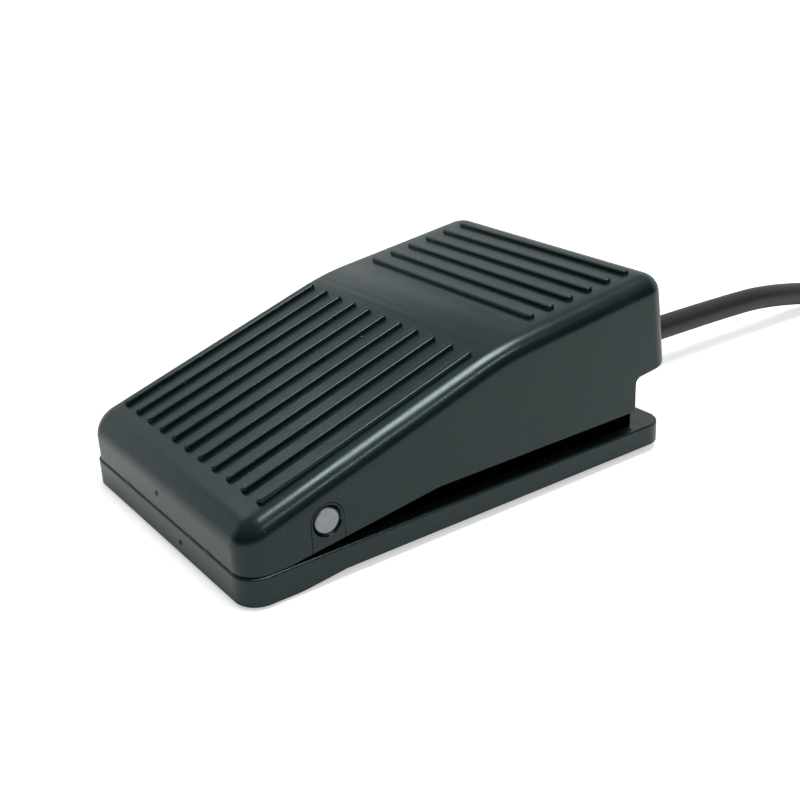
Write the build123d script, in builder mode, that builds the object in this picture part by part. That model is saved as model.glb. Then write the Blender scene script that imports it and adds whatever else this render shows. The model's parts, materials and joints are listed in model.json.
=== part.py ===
"""Foot pedal switch: a hinged cover over a moulded base with a sprung micro switch and a short lead.

Frame, in millimetres: X across the width, Y towards the lead, Z up. The origin is on the floor,
below the middle of the switch without its lead.
"""

import os
from math import atan, cos, pi, radians, sin, tan

from build123d import *

os.makedirs("parts", exist_ok=True)

# Base
base_length = 103.0
base_width = 68.0
base_height = 5.8
base_corner = 4.8
base_edge = 0.4
base_deck = 2.2
base_wall = 2.4
base_relief = 1.25
base_relief_from_front = 9.5
base_relief_ramp = 11.0
under_rib = 1.2
under_ribs_along = 3
under_ribs_across = 5

# Rubber feet
foot_radius = 5.0
foot_thickness = 1.6
foot_proud = 0.4
foot_inset_x = 10.0
foot_inset_y = 9.5
foot_boss_wall = 2.0
foot_edge = 0.3
foot_clearance = 0.1

# Pedal cover
cover_inset = 0.3
cover_wall = 2.2
cover_corner = 5.0
cover_front_rise = 8.9
cover_bend_rise = 27.88
cover_rear_angle = 7.2
cover_bend_to_rear = 43.6
cover_past_base = 1.45
cover_bend_radius = 60.0
cover_top_radius = 2.5
cover_seam = 0.2
cover_upright_radius = 0.8

# Lower edge of the cover's sides
skirt_level = 4.5
skirt_break_from_front = 9.0
skirt_kink_from_front = 42.0
skirt_kink_radius = 14.0
notch_to_rear = 8.8
notch_rise = 11.5
notch_radius = 1.2

# Tread ribs
tread_height = 0.7
long_rib_pitch = 5.64
long_rib_width = 1.6
long_rib_margin = 5.2
long_rib_start = 7.0
long_rib_to_bend = 4.9
cross_rib_pitch = 5.19
cross_rib_width = 1.8
cross_rib_margin = 6.3
cross_rib_past_bend = 11.4
cross_rib_to_rear = 6.0
tread_root = 0.3
tread_rounding = 0.4

# Stiffening ribs below the cover's top
stiffener = 1.5
stiffener_depth = 3.0
stiffener_inset = 8.7
stiffener_from_front = 32.0
stiffener_to_rear = 8.0
cross_stiffeners_to_rear = (64.0, 46.0, 8.0)

# Hinge
pin_radius = 2.5
pin_from_front = 17.4
pin_above_rim = 6.2
pin_running_clearance = 0.05
pin_end_recess = 0.1
pin_end_chamfer = 0.2
pin_ring_radius = 3.1
pin_ring_depth = 0.6
witness_radius = 3.5
witness_width = 0.2
witness_depth = 0.12

# Housing walls that stand on the base inside the cover
housing_wall = 2.0
housing_gap = 0.5
housing_corner = 3.0
housing_height = 10.0
housing_front_height = 3.8
housing_from_front = 5.0
housing_to_rear = 6.3
ear_radius = 5.4
ear_depth = 4.0

# Return spring
spring_radius = 3.9
spring_wire = 0.8
spring_turns = 5
spring_runs_per_turn = 8
spring_x = 0.0
spring_to_rear = 51.5
spring_seat_rise = 2.0
spring_seat_wall = 1.2
spring_post_radius = 2.8
spring_post_height = 3.0
spring_head = 3.0
spring_clearance = 0.25

# Micro switch
switch_length = 27.8
switch_width = 10.3
switch_height = 15.9
switch_from_wall = 16.0
switch_to_rear = 14.7
switch_above_deck = 6.0
switch_wall = 1.5
switch_lid = 1.4
switch_edge = 0.4
switch_hole_radius = 1.55
switch_hole_inset = 2.8
switch_post_wall = 0.9
switch_fit = 0.05

# Plunger and lever of the micro switch
plunger_radius = 1.6
plunger_from_rear = 7.4
plunger_gap = 0.05
plunger_collar = 1.6
plunger_collar_height = 1.0
lever_pivot_from_rear = 2.3
lever_pivot_rise = 1.1
lever_reach = 22.0
lever_width = 4.4
lever_thickness = 0.5
lever_rest_angle = 7.4
lever_eye_radius = 1.0
lever_pin_radius = 0.5
lever_pin_clearance = 0.05
lever_ear = 1.2
lever_ear_gap = 0.2
lever_contact_arm = 20.5
lever_gap = 0.15
actuator_radius = 1.5
actuator_width = 8.0

# Contacts inside the micro switch
blade_thickness = 0.3
blade_width = 3.6
blade_from_top = 6.0
blade_front = 3.6
blade_rear = 2.9
contact_radius = 1.3
contact_height = 0.6
contact_from_rear = 4.2
contact_opening = 0.9
contact_gap = 0.05
terminal_thickness = 0.8
terminal_width = 4.8
terminal_length = 5.4
terminal_strip = 3.0
terminal_hole = 0.8
terminal_common_from_front = 4.5
terminal_closed_from_rear = 7.9
terminal_shelf_gap = 0.6

# Bracket and screws of the micro switch
bracket_thickness = 2.4
bracket_top_drop = 0.4
rest_length = 2.4
rest_to_rear = 2.0
screw_radius = 1.5
screw_head_radius = 2.75
screw_head_height = 2.0
screw_recess = 0.7
screw_slot = 0.6
screw_clearance = 0.05
nut_flats = 5.5
nut_height = 2.4
screw_past_nut = 0.6

# Lead
lead_radius = 3.0
lead_above_deck = 3.5
lead_inner_end = 6.2
core_radius = 0.95
core_circle = 1.35
lead_clearance = 0.05

# Lead bushing in the rear wall
bushing_body = 1.2
bushing_flange = 1.2
bushing_flange_extra = 1.2
bushing_taper_length = 5.5
bushing_taper_wall = 0.7
bushing_clearance = 0.05

# Lead clamp
clamp_width = 22.0
clamp_length = 4.4
clamp_height = 4.6
clamp_from_wall = 1.4
clamp_gap = 0.2
clamp_screw_spacing = 15.0
clamp_screw_length = 8.0
clamp_screw_radius = 1.25
clamp_edge = 0.5

# Bare ends of the lead
end_length = 30.0
tip_radius = 0.55
tip_length = 6.0

# Heights and places that follow from the sizes
base_bottom = foot_proud
rim = base_bottom + base_height
deck_under = rim - base_deck
front = -(base_length + cover_past_base) / 2
rear = front + base_length
base_y = (front + rear) / 2
cover_front = front + cover_inset
rear_lean = radians(cover_rear_angle)
rear_slope = tan(rear_lean)
# the overhang's rounded lower edge ends a little short of its corner
cover_rear = rear + cover_past_base + cover_upright_radius * (sin(rear_lean) + cos(rear_lean) - 1)
cover_half = base_width / 2 - cover_inset
cover_bottom = rim + cover_seam
bend_y = rear - cover_bend_to_rear
bend_z = rim + cover_bend_rise
front_top = rim + cover_front_rise
front_slope = (bend_z - front_top) / (bend_y - cover_front)
front_lean = atan(front_slope)
notch_y = rear - notch_to_rear
notch_z = rim + notch_rise
skirt_z = rim + skirt_level
overhang_z = notch_z + (cover_rear - notch_y) * rear_slope
pin_y = front + pin_from_front
pin_z = rim + pin_above_rim
housing_front = front + housing_from_front
housing_rear = rear - housing_to_rear
housing_half = cover_half - cover_wall - housing_gap
switch_x = housing_half - housing_wall - switch_from_wall
spring_y = rear - spring_to_rear
lead_z = rim + lead_above_deck


def cover_top(y, inset=0.0):
    """Height of the cover's top at y, or of a surface that lies inset below it."""
    on_front = front_top + (y - cover_front) * front_slope - inset / cos(front_lean)
    on_rear = bend_z + (y - bend_y) * rear_slope - inset / cos(rear_lean)
    return min(on_front, on_rear)


def cover_outline(inset, low):
    """Corners of the cover's side view, moved inwards by inset and cut off level at low."""
    bend_drop = inset / cos(front_lean) - inset / cos(rear_lean)
    bend = bend_y + bend_drop / (front_slope - rear_slope)
    wall_low = cover_rear - inset / cos(rear_lean) + (overhang_z - low) * rear_slope
    top_at_zero = cover_top(rear, inset) - rear * rear_slope
    wall_top = (wall_low - (top_at_zero - low) * rear_slope) / (1 + rear_slope ** 2)
    return [
        (cover_front + inset, low),
        (cover_front + inset, cover_top(cover_front + inset, inset)),
        (bend, cover_top(bend, inset)),
        (wall_top, top_at_zero + wall_top * rear_slope),
        (wall_low, low),
    ]


def report(name, part):
    """Label the piece and write it to its own file."""
    part.label = name
    export_step(part, f"parts/{name}.step")


# Base tray: rim, deck, housing walls, hinge ears, spring seat, switch bracket and lead saddle
lead_inner_y = housing_rear - housing_wall - lead_inner_end
clamp_y = housing_rear - housing_wall - clamp_from_wall - clamp_length / 2
switch_y1 = rear - switch_to_rear
switch_y0 = switch_y1 - switch_length
switch_z0 = rim + switch_above_deck
switch_z1 = switch_z0 + switch_height
switch_mid_y = (switch_y0 + switch_y1) / 2
switch_mid_z = (switch_z0 + switch_z1) / 2
switch_left = switch_x - switch_width / 2
switch_right = switch_x + switch_width / 2
bracket_left = switch_right + switch_fit
bracket_right = bracket_left + bracket_thickness
switch_holes = [
    (switch_y0 + switch_hole_inset, switch_z1 - switch_hole_inset),
    (switch_y1 - switch_hole_inset, switch_z0 + switch_hole_inset),
]
foot_x = base_width / 2 - foot_inset_x
foot_places = {
    "foot_front_left": (-foot_x, front + foot_inset_y),
    "foot_front_right": (foot_x, front + foot_inset_y),
    "foot_rear_left": (-foot_x, rear - foot_inset_y),
    "foot_rear_right": (foot_x, rear - foot_inset_y),
}
bushing_radius = lead_radius + bushing_body
lever_pivot_y = switch_y1 - lever_pivot_from_rear
lever_pivot_z = switch_z1 + lever_pivot_rise
lever_contact_z = (
    lever_pivot_z + lever_contact_arm * tan(radians(lever_rest_angle))
    + lever_thickness / 2 / cos(radians(lever_rest_angle))
)
plunger_y = switch_y1 - plunger_from_rear
terminal_common_y = switch_y0 + terminal_common_from_front
terminal_closed_y = switch_y1 - terminal_closed_from_rear
terminal_open_y = (terminal_common_y + terminal_closed_y) / 2
terminal_places = [terminal_common_y, terminal_open_y, terminal_closed_y]

# Relief below the outer wall, from behind the front corners all the way round the rear
relief_y = front + base_relief_from_front
with BuildPart() as base_relief_cut:
    with BuildSketch(Plane.YZ):
        with BuildLine():
            Polyline(
                (relief_y, 0), (relief_y, base_bottom),
                (relief_y + base_relief_ramp, base_bottom + base_relief),
                (rear + base_wall, base_bottom + base_relief), (rear + base_wall, 0), close=True,
            )
        make_face()
    extrude(amount=base_width, both=True)
    with BuildSketch(Plane.XY):
        with Locations((0, base_y)):
            RectangleRounded(base_width - 2 * base_wall, base_length - 2 * base_wall, base_corner - base_wall)
    extrude(amount=base_height, mode=Mode.SUBTRACT)

with BuildPart() as base_tray:
    with BuildSketch(Plane.XY.offset(base_bottom)):
        with Locations((0, base_y)):
            RectangleRounded(base_width, base_length, base_corner)
    extrude(amount=base_height)
    fillet(base_tray.faces().sort_by(Axis.Z)[-1].edges(), base_edge)
    fillet(base_tray.faces().sort_by(Axis.Z)[0].edges(), base_edge)
    # hollow underside with ribs and the four foot bosses
    with BuildSketch(Plane.XY.offset(base_bottom)):
        with Locations((0, base_y)):
            RectangleRounded(base_width - 2 * base_wall, base_length - 2 * base_wall, base_corner - base_wall)
    extrude(amount=deck_under - base_bottom, mode=Mode.SUBTRACT)
    add(base_relief_cut.part, mode=Mode.SUBTRACT)
    with BuildSketch(Plane.XY.offset(base_bottom + base_relief)):
        with Locations((0, base_y)):
            with GridLocations(base_width / (under_ribs_along + 1), 1, under_ribs_along, 1):
                Rectangle(under_rib, base_length - base_wall)
            with GridLocations(1, base_length / (under_ribs_across + 1), 1, under_ribs_across):
                Rectangle(base_width - base_wall, under_rib)
    extrude(amount=deck_under - base_bottom - base_relief)
    with BuildSketch(Plane.XY.offset(base_bottom)):
        with Locations(*foot_places.values()):
            Circle(foot_radius + foot_boss_wall)
    extrude(amount=deck_under - base_bottom)
    with BuildSketch(Plane.XY.offset(base_bottom)):
        with Locations(*foot_places.values()):
            Circle(foot_radius + foot_clearance)
    extrude(amount=foot_thickness - foot_proud, mode=Mode.SUBTRACT)
    # housing walls, lower in front of the hinge
    with BuildSketch(Plane.XY.offset(rim)):
        with Locations((0, (housing_front + housing_rear) / 2)):
            RectangleRounded(2 * housing_half, housing_rear - housing_front, housing_corner)
            RectangleRounded(
                2 * (housing_half - housing_wall), housing_rear - housing_front - 2 * housing_wall,
                housing_corner - housing_wall, mode=Mode.SUBTRACT,
            )
    extrude(amount=housing_height)
    with BuildSketch(Plane.YZ):
        with BuildLine():
            Polyline(
                (front, rim + housing_front_height), (pin_y, rim + housing_front_height),
                (pin_y, rim + 2 * housing_height), (front, rim + 2 * housing_height), close=True,
            )
        make_face()
    extrude(amount=base_width, both=True, mode=Mode.SUBTRACT)
    # hinge ears
    for side in (-1, 1):
        with BuildSketch(Plane.YZ.offset(side * (housing_half - (housing_wall + ear_depth) / 2))):
            with Locations((pin_y, pin_z)):
                Circle(ear_radius)
            with Locations((pin_y, (rim + pin_z) / 2)):
                Rectangle(2 * ear_radius, pin_z - rim)
        extrude(amount=(housing_wall + ear_depth) / 2, both=True)
    with BuildSketch(Plane.YZ):
        with Locations((pin_y, pin_z)):
            Circle(pin_radius + pin_running_clearance)
    extrude(amount=base_width, both=True, mode=Mode.SUBTRACT)
    # spring seat: a cup with a centring post
    with BuildSketch(Plane.XY.offset(rim)):
        with Locations((spring_x, spring_y)):
            Circle(spring_radius + spring_wire / 2 + spring_clearance + spring_seat_wall)
            Circle(spring_radius + spring_wire / 2 + spring_clearance, mode=Mode.SUBTRACT)
    extrude(amount=spring_seat_rise)
    with BuildSketch(Plane.XY.offset(rim)):
        with Locations((spring_x, spring_y)):
            Circle(spring_post_radius)
    extrude(amount=spring_post_height)
    # bracket and rest for the micro switch
    with BuildSketch(Plane.XY.offset(rim)):
        with Locations(((bracket_left + bracket_right) / 2, switch_mid_y)):
            Rectangle(bracket_thickness, switch_length)
    extrude(amount=switch_z1 - bracket_top_drop - rim)
    with BuildSketch(Plane.YZ.offset(bracket_left)):
        with Locations(*switch_holes):
            Circle(screw_radius + screw_clearance)
    extrude(amount=bracket_thickness, mode=Mode.SUBTRACT)
    with BuildSketch(Plane.XY.offset(rim)):
        with Locations((switch_x + switch_fit, switch_y1 - rest_to_rear)):
            Rectangle(switch_width + 4 * switch_fit, rest_length)
    extrude(amount=switch_z0 - rim)
    # saddle under the lead
    with BuildSketch(Plane.XY.offset(rim)):
        with Locations((0, clamp_y)):
            Rectangle(clamp_width, clamp_length)
    extrude(amount=lead_z - rim)
    with BuildSketch(Plane.XY.offset(deck_under + base_deck / 2)):
        with Locations((0, clamp_y)):
            with GridLocations(clamp_screw_spacing, 1, 2, 1):
                Circle(clamp_screw_radius + screw_clearance)
    extrude(amount=base_height, mode=Mode.SUBTRACT)
    with BuildSketch(Plane.XZ.offset(-(clamp_y - clamp_length / 2))):
        with Locations((0, lead_z)):
            Circle(lead_radius + lead_clearance)
    extrude(amount=-clamp_length, mode=Mode.SUBTRACT)
    # hole for the bushing, let a little into the deck
    with BuildSketch(Plane.XZ.offset(-(housing_rear - housing_wall))):
        with Locations((0, lead_z)):
            Circle(bushing_radius + bushing_clearance)
    extrude(amount=-housing_wall, mode=Mode.SUBTRACT)
report("base_tray", base_tray.part)

# Rubber feet
for name, place in foot_places.items():
    with BuildPart() as foot:
        with BuildSketch(Plane.XY):
            with Locations(place):
                Circle(foot_radius)
        extrude(amount=foot_thickness)
        chamfer(foot.edges().sort_by(Axis.Z)[0], foot_edge)
    report(name, foot.part)

# Pedal cover: the solid form, then the cavity below it, then the edge of the skirt
with BuildPart() as cover_cavity:
    with BuildSketch(Plane.YZ):
        with BuildLine():
            Polyline(*cover_outline(cover_wall, base_bottom), close=True)
        make_face()
    extrude(amount=cover_half - cover_wall, both=True)
    upright = cover_cavity.edges().filter_by(lambda e: abs(e.tangent_at(0.5).Z) > 0.9)
    fillet(upright, cover_corner - cover_wall)

tread_front = Plane(
    origin=(0, cover_front, front_top), x_dir=(1, 0, 0),
    z_dir=(0, -sin(front_lean), cos(front_lean)),
)
tread_rear = Plane(
    origin=(0, bend_y, bend_z), x_dir=(1, 0, 0),
    z_dir=(0, -sin(rear_lean), cos(rear_lean)),
)
long_rib_count = 1 + 2 * int((cover_half - long_rib_margin) / long_rib_pitch)
long_rib_length = bend_y - long_rib_to_bend - front - long_rib_start
long_rib_mid = (long_rib_start + long_rib_length / 2 - cover_inset) / cos(front_lean)
long_rib_run = long_rib_length / cos(front_lean)
cross_rib_room = rear - cross_rib_to_rear - bend_y - cross_rib_past_bend
cross_rib_count = 1 + int(cross_rib_room / cross_rib_pitch)
cross_rib_length = 2 * (cover_half - cross_rib_margin)
cross_rib_first = cross_rib_past_bend / cos(rear_lean)
cross_rib_last = cross_rib_first + (cross_rib_count - 1) * cross_rib_pitch

with BuildPart() as pedal_cover:
    with BuildSketch(Plane.YZ):
        with BuildLine():
            Polyline(*cover_outline(0, cover_bottom), close=True)
        make_face()
    extrude(amount=cover_half, both=True)
    upright = pedal_cover.edges().filter_by(lambda e: abs(e.tangent_at(0.5).Z) > 0.9)
    fillet(upright, cover_corner)
    bend = pedal_cover.edges().filter_by(Axis.X).filter_by(lambda e: abs(e.center().Y - bend_y) < 1)
    fillet(bend, cover_bend_radius)
    top_edges = pedal_cover.edges().filter_by(
        lambda e: e.center().Z > cover_bottom + 1 and abs(e.tangent_at(0.5).Z) < 0.5
    )
    fillet(top_edges, cover_top_radius)
    add(cover_cavity.part, mode=Mode.SUBTRACT)
    # skirt line: close to the rim in front, rising to a level edge, with a notch at the rear
    with BuildSketch(Plane.YZ) as skirt:
        with BuildLine():
            Polyline(
                (front + skirt_break_from_front, base_bottom), (front + skirt_break_from_front, cover_bottom),
                (front + skirt_kink_from_front, skirt_z), (notch_y, skirt_z), (notch_y, notch_z),
                (rear + notch_to_rear, notch_z + 2 * notch_to_rear * rear_slope),
                (rear + notch_to_rear, base_bottom), close=True,
            )
        make_face()
        kink = skirt.vertices().sort_by_distance((front + skirt_kink_from_front, skirt_z))[0]
        fillet(kink, skirt_kink_radius)
        inner = skirt.vertices().sort_by_distance((notch_y, notch_z))[0]
        fillet(inner, notch_radius)
    extrude(amount=base_width, both=True, mode=Mode.SUBTRACT)
    uprights = pedal_cover.edges().filter_by(Axis.Z).filter_by(
        lambda e: abs(e.center().Y - notch_y) < cover_inset and abs(e.center().X) > cover_half - cover_wall
    )
    fillet(uprights, cover_upright_radius)
    # lengthwise tread ribs on the front slope
    with BuildSketch(tread_front.offset(-tread_root)):
        with Locations((0, long_rib_mid)):
            with GridLocations(long_rib_pitch, 1, long_rib_count, 1):
                SlotOverall(long_rib_run, long_rib_width, rotation=90)
    extrude(amount=tread_root + tread_height)
    # crosswise tread ribs on the rear slope
    with BuildSketch(tread_rear.offset(-tread_root)):
        with Locations((0, (cross_rib_first + cross_rib_last) / 2)):
            with GridLocations(1, cross_rib_pitch, 1, cross_rib_count):
                SlotOverall(cross_rib_length, cross_rib_width)
    extrude(amount=tread_root + tread_height)
    for plane in (tread_front, tread_rear):
        crests = pedal_cover.faces().filter_by(
            lambda face: abs(plane.to_local_coords(face.center()).Z - tread_height) < tread_height / 10
        )
        fillet(crests.edges(), tread_rounding)
    # stiffening ribs
    for side in (-1, 1):
        with BuildSketch(Plane.YZ.offset(side * (cover_half - stiffener_inset))):
            with BuildLine():
                y0 = front + stiffener_from_front
                y1 = rear - stiffener_to_rear
                roof = cover_wall / 2
                hang = cover_wall + stiffener_depth
                Polyline(
                    (y0, cover_top(y0, roof)), (bend_y, cover_top(bend_y, roof)), (y1, cover_top(y1, roof)),
                    (y1, cover_top(y1, hang)), (bend_y, cover_top(bend_y, hang)), (y0, cover_top(y0, hang)),
                    close=True,
                )
            make_face()
        extrude(amount=stiffener / 2, both=True)
    for place in cross_stiffeners_to_rear:
        with BuildSketch(Plane.YZ):
            with BuildLine():
                y = rear - place
                Polyline(
                    (y - stiffener / 2, cover_top(y, cover_wall / 2)),
                    (y + stiffener / 2, cover_top(y, cover_wall / 2)),
                    (y + stiffener / 2, cover_top(y, cover_wall + stiffener_depth)),
                    (y - stiffener / 2, cover_top(y, cover_wall + stiffener_depth)), close=True,
                )
            make_face()
        extrude(amount=cover_half - cover_wall / 2, both=True)
    # spring boss and the pad that presses the lever
    spring_top = cover_top(spring_y, cover_wall) - spring_head
    with BuildSketch(Plane.XY.offset(spring_top)):
        with Locations((spring_x, spring_y)):
            Circle(spring_radius + spring_wire / 2 + spring_clearance)
    extrude(amount=spring_head + cover_wall / 2)
    with BuildSketch(Plane.XY.offset(spring_top - spring_post_height)):
        with Locations((spring_x, spring_y)):
            Circle(spring_post_radius)
    extrude(amount=spring_post_height)
    # pin holes with a shallow ring outside
    with BuildSketch(Plane.YZ):
        with Locations((pin_y, pin_z)):
            Circle(pin_radius + pin_running_clearance)
    extrude(amount=base_width, both=True, mode=Mode.SUBTRACT)
    for side in (-1, 1):
        with BuildSketch(Plane.YZ.offset(side * (cover_half - pin_ring_depth / 2))):
            with Locations((pin_y, pin_z)):
                Circle(pin_ring_radius)
        extrude(amount=pin_ring_depth / 2, both=True, mode=Mode.SUBTRACT)
        # fine line left by the mould's insert
        with BuildSketch(Plane.YZ.offset(side * cover_half)):
            for step, mode in ((witness_width / 2, Mode.ADD), (-witness_width / 2, Mode.SUBTRACT)):
                radius = witness_radius + step
                with Locations((pin_y, pin_z)):
                    Circle(radius, mode=mode)
                with Locations((pin_y, (rim + pin_z) / 2)):
                    Rectangle(2 * radius, pin_z - rim, mode=mode)
        extrude(amount=witness_depth, both=True, mode=Mode.SUBTRACT)
    # pad that presses the lever of the micro switch
    actuator_y = lever_pivot_y - lever_contact_arm
    with BuildSketch(Plane.YZ.offset(switch_x)):
        with Locations((actuator_y, lever_contact_z + lever_gap + actuator_radius)):
            Circle(actuator_radius)
        with Locations((actuator_y, cover_top(actuator_y, cover_wall / 2) + actuator_radius)):
            Rectangle(2 * actuator_radius, 2 * actuator_radius, mode=Mode.SUBTRACT)
    extrude(amount=actuator_width / 2, both=True)
report("pedal_cover", pedal_cover.part)

# Hinge pin
with BuildPart() as hinge_pin:
    with BuildSketch(Plane.YZ):
        with Locations((pin_y, pin_z)):
            Circle(pin_radius)
    extrude(amount=cover_half - pin_end_recess, both=True)
    chamfer(hinge_pin.edges().filter_by(GeomType.CIRCLE), pin_end_chamfer)
report("hinge_pin", hinge_pin.part)

# Return spring between the seat and the cover's boss, its helix in short straight runs
spring_low = rim + spring_wire / 2
spring_rise = spring_top - spring_wire / 2 - spring_low
coil_runs = spring_turns * spring_runs_per_turn
coil_points = [
    (
        spring_x + spring_radius * cos(2 * pi * run / spring_runs_per_turn),
        spring_y + spring_radius * sin(2 * pi * run / spring_runs_per_turn),
        spring_low + spring_rise * run / coil_runs,
    )
    for run in range(coil_runs + 1)
]
with BuildPart() as return_spring:
    with BuildLine() as coil:
        Polyline(*coil_points)
    with BuildSketch(Plane(origin=coil.line @ 0, z_dir=coil.line % 0)):
        Circle(spring_wire / 2)
    sweep(transition=Transition.RIGHT)
report("return_spring", return_spring.part)

# Case of the micro switch: a box open towards the lid, with posts round its screw holes
case_right = switch_right
case_left = switch_left + switch_lid
with BuildPart() as switch_case:
    with BuildSketch(Plane.YZ.offset(case_left)):
        with Locations((switch_mid_y, switch_mid_z)):
            Rectangle(switch_length, switch_height)
    extrude(amount=case_right - case_left)
    outer = switch_case.faces().sort_by(Axis.X)[-1].edges()
    fillet(outer, switch_edge)
    with BuildSketch(Plane.YZ.offset(case_left)):
        with Locations((switch_mid_y, switch_mid_z)):
            Rectangle(switch_length - 2 * switch_wall, switch_height - 2 * switch_wall)
    extrude(amount=case_right - case_left - switch_wall, mode=Mode.SUBTRACT)
    with BuildSketch(Plane.YZ.offset(case_left)):
        with Locations(*switch_holes):
            Circle(switch_hole_radius + switch_post_wall)
    extrude(amount=case_right - case_left)
    # the plunger's hole, the slots for the terminals and the ears for the lever's pin
    with BuildSketch(Plane.XY.offset(switch_z1 - switch_wall)):
        with Locations((switch_x, plunger_y)):
            Circle(plunger_radius + switch_fit)
    extrude(amount=switch_wall, mode=Mode.SUBTRACT)
    with BuildSketch(Plane.XY.offset(switch_z0)):
        with Locations(*[(switch_x, y) for y in terminal_places]):
            Rectangle(terminal_thickness + 2 * switch_fit, terminal_width + 2 * switch_fit)
    extrude(amount=switch_wall, mode=Mode.SUBTRACT)
    for side in (-1, 1):
        ear_x = switch_x + side * (lever_width / 2 + lever_ear_gap + lever_ear / 2)
        with BuildSketch(Plane.YZ.offset(ear_x)):
            with Locations((lever_pivot_y, lever_pivot_z)):
                Circle(lever_eye_radius)
            with Locations((lever_pivot_y, (switch_z1 - switch_edge + lever_pivot_z) / 2)):
                Rectangle(2 * lever_eye_radius, lever_pivot_z - switch_z1 + switch_edge)
        extrude(amount=lever_ear / 2, both=True)
    with BuildSketch(Plane.YZ.offset(switch_x)):
        with Locations((lever_pivot_y, lever_pivot_z)):
            Circle(lever_pin_radius)
    extrude(amount=switch_width / 2, both=True, mode=Mode.SUBTRACT)
    with BuildSketch(Plane.YZ.offset(case_left)):
        with Locations(*switch_holes):
            Circle(switch_hole_radius)
    extrude(amount=case_right - case_left, mode=Mode.SUBTRACT)
report("switch_case", switch_case.part)

# Lid that closes the case's open side
with BuildPart() as switch_lid_part:
    with BuildSketch(Plane.YZ.offset(switch_left)):
        with Locations((switch_mid_y, switch_mid_z)):
            Rectangle(switch_length, switch_height)
        with Locations(*switch_holes):
            Circle(switch_hole_radius, mode=Mode.SUBTRACT)
    extrude(amount=switch_lid)
    outline = switch_lid_part.faces().sort_by(Axis.X)[0].outer_wire().edges()
    fillet(outline, switch_edge)
report("switch_lid", switch_lid_part.part)

# Blade that the plunger bends down, with its contact at the rear end
blade_z = switch_z1 - blade_from_top
blade_y0 = switch_y0 + blade_front
blade_y1 = switch_y1 - blade_rear
contact_y = switch_y1 - contact_from_rear
with BuildPart() as contact_blade:
    with BuildSketch(Plane.XY.offset(blade_z - blade_thickness / 2)):
        with Locations((switch_x, (blade_y0 + blade_y1) / 2)):
            Rectangle(blade_width, blade_y1 - blade_y0)
    extrude(amount=blade_thickness)
    with BuildSketch(Plane.XY.offset(blade_z - blade_thickness / 2 - contact_height)):
        with Locations((switch_x, contact_y)):
            Circle(contact_radius)
    extrude(amount=2 * contact_height + blade_thickness)
    # window for the snap tongue
    with BuildSketch(Plane.XY.offset(blade_z - blade_thickness)):
        with Locations((switch_x, (blade_y0 + blade_y1) / 2)):
            Rectangle(blade_width / 2, (blade_y1 - blade_y0) / 2)
    extrude(amount=2 * blade_thickness, mode=Mode.SUBTRACT)
report("contact_blade", contact_blade.part)

# Plunger: a round pin with a foot that stays below the case's top and rests on the blade
plunger_foot = blade_z + blade_thickness / 2 + contact_gap
plunger_arm = lever_pivot_y - plunger_y
plunger_top = (
    lever_pivot_z + (plunger_arm - plunger_radius) * tan(radians(lever_rest_angle))
    - lever_thickness / 2 / cos(radians(lever_rest_angle)) - plunger_gap
)
with BuildPart() as switch_plunger:
    with BuildSketch(Plane.XY.offset(plunger_foot)):
        with Locations((switch_x, plunger_y)):
            Circle(plunger_radius)
    extrude(amount=plunger_top - plunger_foot)
    with BuildSketch(Plane.XY.offset(plunger_foot)):
        with Locations((switch_x, plunger_y)):
            Rectangle(2 * plunger_radius + plunger_collar, 2 * plunger_radius)
    extrude(amount=plunger_collar_height)
report("switch_plunger", switch_plunger.part)

# Lever: a strip with a rolled eye round its pin
lever_tilt = radians(lever_rest_angle)
with BuildPart() as switch_lever:
    with BuildSketch(Plane.YZ.offset(switch_x)):
        with Locations((lever_pivot_y, lever_pivot_z)):
            Circle(lever_eye_radius)
        lever_mid_y = lever_pivot_y - lever_reach / 2 * cos(lever_tilt)
        lever_mid_z = lever_pivot_z + lever_reach / 2 * sin(lever_tilt)
        with Locations(Location((lever_mid_y, lever_mid_z), -lever_rest_angle)):
            SlotOverall(lever_reach + lever_thickness, lever_thickness)
        with Locations((lever_pivot_y, lever_pivot_z)):
            Circle(lever_pin_radius + lever_pin_clearance, mode=Mode.SUBTRACT)
    extrude(amount=lever_width / 2, both=True)
report("switch_lever", switch_lever.part)

with BuildPart() as switch_lever_pin:
    with BuildSketch(Plane.YZ.offset(switch_x)):
        with Locations((lever_pivot_y, lever_pivot_z)):
            Circle(lever_pin_radius - lever_pin_clearance / 2)
    extrude(amount=lever_width / 2 + lever_ear_gap + lever_ear, both=True)
report("switch_lever_pin", switch_lever_pin.part)

# Terminals: a solder tab below the case and a bent strip inside, given as its legs in side view
strip = terminal_thickness
floor_z = switch_z0 + switch_wall
common_top = blade_z - blade_thickness / 2 - contact_gap
open_top = blade_z - blade_thickness / 2 - contact_height - contact_opening
closed_low = blade_z + blade_thickness / 2 + contact_height + contact_gap
middle_top = open_top - strip - terminal_shelf_gap
rear_leg = switch_y1 - switch_wall - strip
terminal_legs = {
    "terminal_common": (terminal_common_y, [
        (terminal_common_y, floor_z, terminal_common_y + strip, common_top),
        (blade_y0 - strip, common_top - strip, terminal_common_y + strip, common_top),
    ]),
    "terminal_open": (terminal_open_y, [
        (terminal_open_y, floor_z, terminal_open_y + strip, open_top),
        (terminal_open_y, open_top - strip, contact_y + contact_radius, open_top),
    ]),
    "terminal_closed": (terminal_closed_y, [
        (terminal_closed_y, floor_z, terminal_closed_y + strip, middle_top),
        (terminal_closed_y, middle_top - strip, rear_leg + strip, middle_top),
        (rear_leg, middle_top - strip, rear_leg + strip, closed_low + strip),
        (contact_y - contact_radius, closed_low, rear_leg + strip, closed_low + strip),
    ]),
}
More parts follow.
